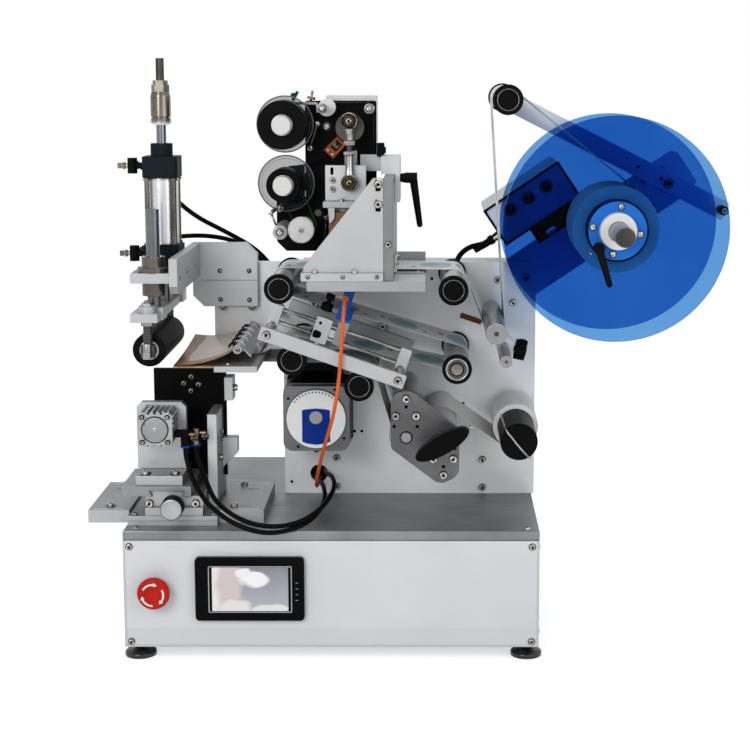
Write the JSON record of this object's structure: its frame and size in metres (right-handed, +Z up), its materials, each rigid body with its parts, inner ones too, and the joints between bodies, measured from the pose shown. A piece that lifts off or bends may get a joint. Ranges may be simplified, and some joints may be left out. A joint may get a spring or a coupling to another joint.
{
  "type": "labeling machine",
  "caption": "Bench-top label applicator: label reel, web rollers, hot-foil coder, peel plate, air press roller and clamping stage on a cabinet base.",
  "frame": {"origin": "bottom centre of the machine's bounding box, at floor level under the leveling feet", "axes": "+X from the clamping stage to the label reel, +Y away from the operator, +Z up"},
  "size_m": [0.8138, 0.438, 0.738],
  "materials": {
    "cabinet_paint": "satin powder coat",
    "deck_plate": "milled and anodised",
    "panel_aluminium": "brushed anodised",
    "bright_aluminium": "machined",
    "black_aluminium": "black anodised",
    "steel": "ground",
    "chrome": "polished",
    "black_plastic": "moulded",
    "gloss_black": "moulded, glossy",
    "stop_red": "moulded, glossy",
    "roller_aluminium": "turned, black end flanges",
    "press_rubber": "soft, matte",
    "drive_rubber": "ground",
    "reel_acrylic": "translucent sheet",
    "hub_plastic": "turned",
    "label_paper": "coated paper, modelled as a light plastic",
    "motor_black": "semi-gloss",
    "white_plastic": "moulded",
    "ribbon_black": "wound foil",
    "air_tube": "polyurethane tube",
    "orange_cable": "flexible cable",
    "black_cable": "flexible cable"
  },
  "bodies": {
    "machine": {"base_cabinet": "cabinet_paint", "base_top_plate": "deck_plate", "base_front_cover": "cabinet_paint", "leveling_feet": "black_plastic", "touch_panel": "gloss_black", "main_panel": "panel_aluminium", "drive_housing": "cabinet_paint", "panel_shafts": "steel", "bearing_plate": "steel", "stepper_motor": "motor_black", "reel_support": "bright_aluminium", "control_box": "cabinet_paint", "press_arm": "bright_aluminium", "press_cylinder": "bright_aluminium", "stage_base": "bright_aluminium", "backstop": "black_aluminium", "peel_plate": "steel", "guide_frame": "bright_aluminium", "print_table": "bright_aluminium", "coder_frame": "black_aluminium", "label_web": "label_paper", "front_air_tube_1": "air_tube", "front_air_tube_2": "air_tube", "rear_air_tube_1": "air_tube", "rear_air_tube_2": "air_tube", "sensor_cable": "orange_cable", "control_box_cable": "black_cable"},
    "press_head": {"press_yoke": "steel"},
    "press_roller": {"press_roller": "press_rubber"},
    "reel": {"reel_discs": "reel_acrylic", "reel_hub": "hub_plastic", "label_roll": "label_paper"},
    "reel_lever": {"reel_clamp_lever": "black_plastic"},
    "rewind": {"rewind_mandrel": "black_aluminium"},
    "traction": {"traction_roller": "drive_rubber"},
    "motor_pulley": {"motor_pulley": "bright_aluminium"},
    "pinch_lever": {"pinch_lever": "gloss_black"},
    "pinch_roller": {"pinch_roller": "drive_rubber"},
    "ribbon_supply": {"ribbon_supply": "ribbon_black"},
    "ribbon_takeup": {"ribbon_takeup": "ribbon_black"},
    "ribbon_wheel": {"ribbon_wheel": "white_plastic"},
    "crank": {"crank_disc": "steel"},
    "connecting_rod": {"connecting_rod": "chrome"},
    "print_slider": {"print_slider": "bright_aluminium"},
    "coder_lever": {"coder_clamp_lever": "black_plastic"},
    "star_knob": {"star_knob": "black_plastic"},
    "sensor_carriage": {"sensor_carriage": "black_plastic"},
    "stage": {"stage_slide": "bright_aluminium"},
    "stage_knob": {"stage_knob": "black_plastic"},
    "pusher": {"clamp_pusher": "steel"},
    "stop_button": {"stop_button": "stop_red"},
    "control_knob_1": {"control_knob_1": "black_plastic"},
    "control_knob_2": {"control_knob_2": "black_plastic"},
    "control_knob_3": {"control_knob_3": "black_plastic"},
    "guide_roller_1": {"guide_roller_1": "roller_aluminium"},
    "guide_roller_2": {"guide_roller_2": "roller_aluminium"},
    "guide_roller_3": {"guide_roller_3": "roller_aluminium"},
    "guide_roller_4": {"guide_roller_4": "roller_aluminium"},
    "guide_roller_5": {"guide_roller_5": "roller_aluminium"},
    "guide_roller_6": {"guide_roller_6": "roller_aluminium"}
  },
  "joints": [
    {"name": "press_slide", "type": "slide", "parent": "machine", "child": "press_head", "axis": [0, 0, 1], "range_m": [-0.022, 0]},
    {"name": "press_roller_spin", "type": "hinge", "parent": "press_head", "child": "press_roller", "pos_m": [-0.31794, -0.076, 0.3924], "axis": [0, 1, 0], "continuous": true},
    {"name": "traction_spin", "type": "hinge", "parent": "machine", "child": "traction", "pos_m": [-0.01094, -0.076, 0.2865], "axis": [0, 1, 0], "continuous": true},
    {"name": "guide_roller_1_spin", "type": "hinge", "parent": "machine", "child": "guide_roller_1", "pos_m": [-0.16294, -0.076, 0.4655], "axis": [0, 1, 0], "continuous": true},
    {"name": "guide_roller_2_spin", "type": "hinge", "parent": "machine", "child": "guide_roller_2", "pos_m": [0.04556, -0.076, 0.464], "axis": [0, 1, 0], "continuous": true},
    {"name": "guide_roller_3_spin", "type": "hinge", "parent": "machine", "child": "guide_roller_3", "pos_m": [0.05006, -0.076, 0.3685], "axis": [0, 1, 0], "continuous": true},
    {"name": "guide_roller_4_spin", "type": "hinge", "parent": "machine", "child": "guide_roller_4", "pos_m": [-0.14854, -0.076, 0.379], "axis": [0, 1, 0], "continuous": true},
    {"name": "guide_roller_5_spin", "type": "hinge", "parent": "machine", "child": "guide_roller_5", "pos_m": [-0.06794, -0.076, 0.3473], "axis": [0, 1, 0], "continuous": true},
    {"name": "guide_roller_6_spin", "type": "hinge", "parent": "machine", "child": "guide_roller_6", "pos_m": [0.10896, -0.076, 0.69], "axis": [0, 1, 0], "continuous": true},
    {"name": "motor_pulley_spin", "type": "hinge", "parent": "machine", "child": "motor_pulley", "pos_m": [-0.12764, -0.076, 0.285], "axis": [0, 1, 0], "continuous": true},
    {"name": "pinch_lever_turn", "type": "hinge", "parent": "machine", "child": "pinch_lever", "pos_m": [0.03236, -0.076, 0.2865], "axis": [0, 1, 0], "range_deg": [-90, 0]},
    {"name": "pinch_roller_spin", "type": "hinge", "parent": "pinch_lever", "child": "pinch_roller", "pos_m": [0.03086, -0.076, 0.2865], "axis": [0, 1, 0], "continuous": true},
    {"name": "reel_spin", "type": "hinge", "parent": "machine", "child": "reel", "pos_m": [0.24676, -0.076, 0.5304], "axis": [0, 1, 0], "continuous": true},
    {"name": "reel_lever_turn", "type": "hinge", "parent": "reel", "child": "reel_lever", "pos_m": [0.22267, -0.126, 0.51089], "axis": [0, 1, 0], "range_deg": [-60, 60]},
    {"name": "rewind_spin", "type": "hinge", "parent": "machine", "child": "rewind", "pos_m": [0.12506, -0.076, 0.281], "axis": [0, 1, 0], "continuous": true},
    {"name": "ribbon_wheel_spin", "type": "hinge", "parent": "machine", "child": "ribbon_wheel", "pos_m": [-0.14094, -0.076, 0.5299], "axis": [0, 1, 0], "continuous": true},
    {"name": "ribbon_supply_spin", "type": "hinge", "parent": "machine", "child": "ribbon_supply", "pos_m": [-0.16394, -0.076, 0.6574], "axis": [0, 1, 0], "continuous": true},
    {"name": "ribbon_takeup_spin", "type": "hinge", "parent": "machine", "child": "ribbon_takeup", "pos_m": [-0.16314, -0.076, 0.5837], "axis": [0, 1, 0], "continuous": true},
    {"name": "crank_turn", "type": "hinge", "parent": "machine", "child": "crank", "pos_m": [-0.08294, -0.076, 0.6535], "axis": [0, 1, 0], "range_deg": [0, 180]},
    {"name": "connecting_rod_pivot", "type": "hinge", "parent": "crank", "child": "connecting_rod", "pos_m": [-0.08294, -0.076, 0.662], "axis": [0, 1, 0], "range_deg": [-180, 0]},
    {"name": "print_slide", "type": "slide", "parent": "machine", "child": "print_slider", "axis": [0, 0, -1], "range_m": [0, 0.017]},
    {"name": "coder_lever_turn", "type": "hinge", "parent": "machine", "child": "coder_lever", "pos_m": [-0.01994, -0.093, 0.5935], "axis": [1, 0, 0], "range_deg": [-80, 80]},
    {"name": "star_knob_turn", "type": "hinge", "parent": "machine", "child": "star_knob", "pos_m": [0.10876, -0.0645, 0.3796], "axis": [0.9781, 0, -0.2079], "range_deg": [-90, 90]},
    {"name": "sensor_slide", "type": "slide", "parent": "machine", "child": "sensor_carriage", "axis": [0.9437, 0, -0.3307], "range_m": [-0.001, 0.014], "deforming": ["sensor_cable"]},
    {"name": "stage_knob_turn", "type": "hinge", "parent": "machine", "child": "stage_knob", "pos_m": [-0.29614, -0.166, 0.1965], "axis": [0, 1, 0], "range_deg": [-1440, 1440]},
    {"name": "stage_slide_y", "type": "slide", "parent": "machine", "child": "stage", "axis": [0, 1, 0], "range_m": [-0.008, 0.008], "deforming": ["front_air_tube_1", "front_air_tube_2"]},
    {"name": "pusher_slide", "type": "slide", "parent": "stage", "child": "pusher", "axis": [0, 1, 0], "range_m": [0, 0.02]},
    {"name": "stop_button_slide", "type": "slide", "parent": "machine", "child": "stop_button", "axis": [0, 1, 0], "range_m": [0, 0.005], "stiffness_N_per_m": 500, "springref_m": -0.003},
    {"name": "control_knob_1_turn", "type": "hinge", "parent": "machine", "child": "control_knob_1", "pos_m": [0.12183, 0.014, 0.54468], "axis": [0, 1, 0], "range_deg": [-150, 150]},
    {"name": "control_knob_2_turn", "type": "hinge", "parent": "machine", "child": "control_knob_2", "pos_m": [0.14463, 0.014, 0.56006], "axis": [0, 1, 0], "range_deg": [-150, 150]},
    {"name": "control_knob_3_turn", "type": "hinge", "parent": "machine", "child": "control_knob_3", "pos_m": [0.16743, 0.014, 0.57544], "axis": [0, 1, 0], "range_deg": [-150, 150]}
  ],
  "couplings": [
    {"joint": "guide_roller_1_spin", "follows": "traction_spin", "ratio": 1.3548},
    {"joint": "guide_roller_2_spin", "follows": "traction_spin", "ratio": 1.3548},
    {"joint": "guide_roller_3_spin", "follows": "traction_spin", "ratio": -1.3548},
    {"joint": "guide_roller_4_spin", "follows": "traction_spin", "ratio": 1.3548},
    {"joint": "guide_roller_5_spin", "follows": "traction_spin", "ratio": -1.3548},
    {"joint": "guide_roller_6_spin", "follows": "traction_spin", "ratio": 1.3548},
    {"joint": "motor_pulley_spin", "follows": "traction_spin", "ratio": 1.6667},
    {"joint": "pinch_roller_spin", "follows": "traction_spin", "ratio": -1.05},
    {"joint": "reel_spin", "follows": "traction_spin", "ratio": 0.38889},
    {"joint": "rewind_spin", "follows": "traction_spin", "ratio": 0.73684},
    {"joint": "ribbon_supply_spin", "follows": "ribbon_wheel_spin", "ratio": 0.33333},
    {"joint": "ribbon_takeup_spin", "follows": "ribbon_wheel_spin", "ratio": 0.47619},
    {"joint": "crank_turn", "follows": "print_slide", "rad_per_m": 184.8},
    {"joint": "connecting_rod_pivot", "follows": "print_slide", "rad_per_m": -184.8},
    {"joint": "stage_knob_turn", "follows": "stage_slide_y", "rad_per_m": 3141.6}
  ]
}
